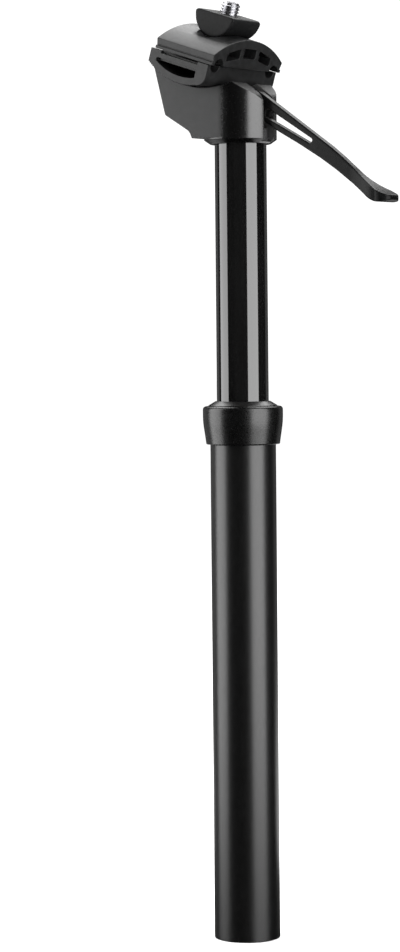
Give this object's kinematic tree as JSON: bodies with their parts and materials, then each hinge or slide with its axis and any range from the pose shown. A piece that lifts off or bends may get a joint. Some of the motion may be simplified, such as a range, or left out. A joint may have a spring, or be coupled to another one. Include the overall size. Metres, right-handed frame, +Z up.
{
  "type": "dropper seatpost",
  "caption": "Telescopic bicycle seatpost: a tube sliding in an outer tube on a gas spring, with a lever under a single-bolt saddle rail clamp.",
  "frame": {"origin": "on the post's axis, at the lower end of the outer tube", "axes": "+Z up along the post, +X to the front of the bicycle, the side the lever points to"},
  "size_m": [0.1232, 0.055, 0.4501],
  "materials": {
    "tube_black": "satin black anodised",
    "collar_black": "satin black anodised",
    "stanchion_black": "hard black anodised, polished",
    "head_black": "fine blasted black anodised",
    "clamp_black": "fine blasted black anodised",
    "lever_black": "blasted black anodised",
    "nut_black": "black oxide steel",
    "bolt_steel": "bright zinc plated",
    "spring_steel": "oiled spring steel",
    "rubber_black": "matt rubber",
    "bearing_plastic": "filled bearing plastic",
    "ring_plastic": "white sealing plastic",
    "key_brass": "drawn brass",
    "felt": "greased felt",
    "spring_tube": "drawn steel tube",
    "rod_chrome": "hard chrome",
    "plug_alloy": "turned aluminium",
    "valve_brass": "turned brass"
  },
  "bodies": {
    "lower": {"outer_tube": "tube_black", "seal_collar": "collar_black", "wiper_seal": "rubber_black", "grease_ring": "felt", "upper_bushing": "bearing_plastic", "bottom_cap": "plug_alloy", "cap_oring": "rubber_black", "cap_clip": "spring_steel", "rod_nut": "bolt_steel", "rod_washer": "bolt_steel", "piston_rod": "rod_chrome", "piston": "plug_alloy", "piston_ring": "ring_plastic", "piston_nut": "bolt_steel", "bumper": "rubber_black"},
    "upper": {"stanchion": "stanchion_black", "head": "head_black", "lower_bushing": "bearing_plastic", "bushing_clip": "spring_steel", "guide_keys": "key_brass", "gas_cylinder": "spring_tube", "rod_gland": "plug_alloy", "rod_seal": "rubber_black", "gland_clip": "spring_steel", "valve_body": "valve_brass", "valve_oring": "rubber_black", "pivot_screw": "spring_steel", "clamp_bolt": "bolt_steel", "bolt_washer": "bolt_steel", "barrel_nut": "nut_black"},
    "lever": {"lever": "lever_black", "lever_bushes": "bearing_plastic"},
    "valve": {"valve_pin": "spring_tube", "valve_poppet": "spring_tube"},
    "clamp": {"lower_cradle": "clamp_black", "upper_clamp": "clamp_black"}
  },
  "joints": [
    {"name": "post_slide", "type": "slide", "parent": "lower", "child": "upper", "axis": [0, 0, 1], "range_m": [-0.12, 0], "stiffness_N_per_m": 400, "springref_m": 0.25},
    {"name": "lever_pivot", "type": "hinge", "parent": "upper", "child": "lever", "pos_m": [0.0095, 0, 0.401], "axis": [0, -1, 0], "range_deg": [0, 14], "stiffness_Nm_per_rad": 1.5, "springref_deg": -8.59},
    {"name": "valve_press", "type": "slide", "parent": "upper", "child": "valve", "axis": [0, 0, -1], "range_m": [0, 0.0026]},
    {"name": "clamp_tilt", "type": "hinge", "parent": "upper", "child": "clamp", "pos_m": [-0.0063, 0, 0.4444], "axis": [0, 1, 0], "range_deg": [-8, 8]}
  ],
  "couplings": [
    {"joint": "valve_press", "follows": "lever_pivot", "m_per_rad": 0.0095}
  ]
}
